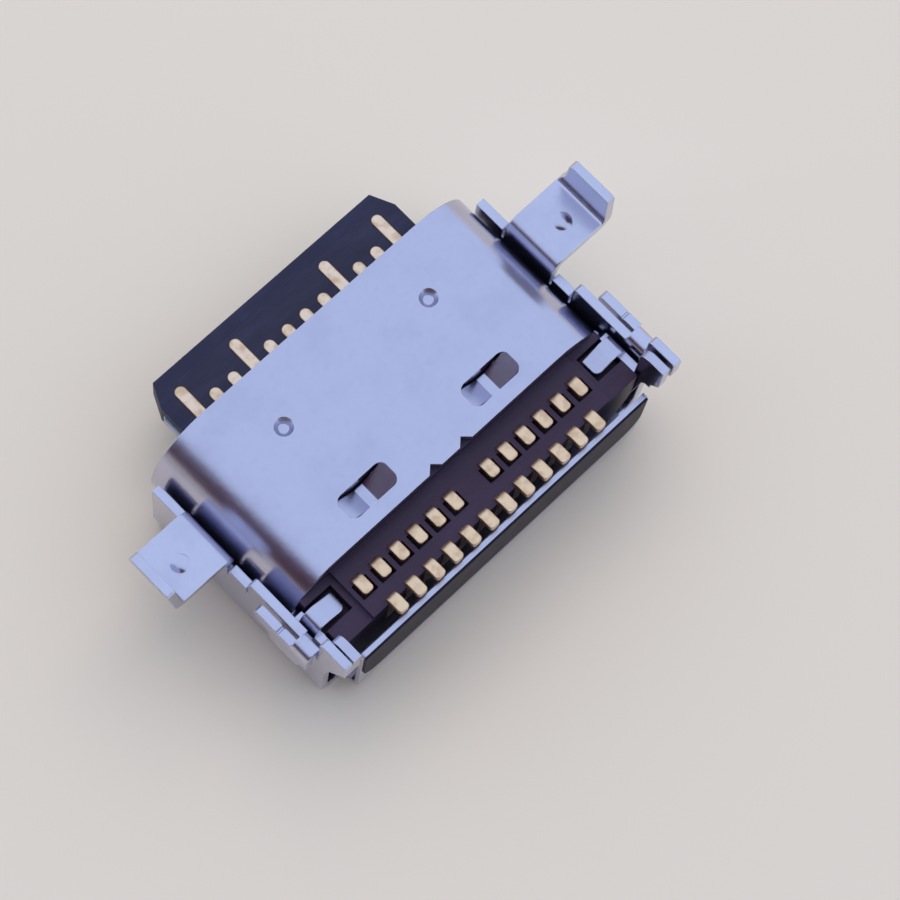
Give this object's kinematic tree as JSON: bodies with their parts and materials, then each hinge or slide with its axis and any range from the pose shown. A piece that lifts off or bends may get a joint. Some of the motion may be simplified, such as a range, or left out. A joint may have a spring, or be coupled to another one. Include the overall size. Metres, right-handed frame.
{
  "type": "usb-c socket",
  "caption": "Socket for a small reversible plug, set into a cut-out of a circuit board, with a steel shell, a contact tongue that reaches out of it, solder tails and folded ears.",
  "frame": {"origin": "centre of the part's outline on its bottom plate", "axes": "+Y the way the mouth faces, +Z towards the board, the solder side, +X across the contacts"},
  "size_m": [0.0122, 0.0072, 0.0037],
  "materials": {
    "shell_steel": "satin nickel-plated steel",
    "bracket_steel": "satin nickel-plated steel",
    "shield_steel": "satin nickel-plated steel",
    "plate_steel": "plain stamped steel",
    "black_film": "matte",
    "housing_plastic": "fine matte moulding",
    "tongue_plastic": "fine matte moulding",
    "gold_plating": "satin gold plating"
  },
  "bodies": {
    "root": {"main_shell": "shell_steel", "mount_bracket": "bracket_steel", "rear_shield": "shield_steel", "rear_insulator": "black_film", "mid_plate": "plate_steel", "upper_insert": "housing_plastic", "lower_insert": "housing_plastic", "tongue_overmould": "tongue_plastic", "upper_ground_plate": "plate_steel", "lower_ground_plate": "plate_steel", "terminal_a1": "gold_plating", "terminal_a2": "gold_plating", "terminal_a3": "gold_plating", "terminal_a4": "gold_plating", "terminal_a5": "gold_plating", "terminal_a6": "gold_plating", "terminal_a7": "gold_plating", "terminal_a8": "gold_plating", "terminal_a9": "gold_plating", "terminal_a10": "gold_plating", "terminal_a11": "gold_plating", "terminal_a12": "gold_plating", "terminal_b1": "gold_plating", "terminal_b2": "gold_plating", "terminal_b3": "gold_plating", "terminal_b4": "gold_plating", "terminal_b5": "gold_plating", "terminal_b6": "gold_plating", "terminal_b7": "gold_plating", "terminal_b8": "gold_plating", "terminal_b9": "gold_plating", "terminal_b10": "gold_plating", "terminal_b11": "gold_plating", "terminal_b12": "gold_plating"}
  },
  "joints": []
}
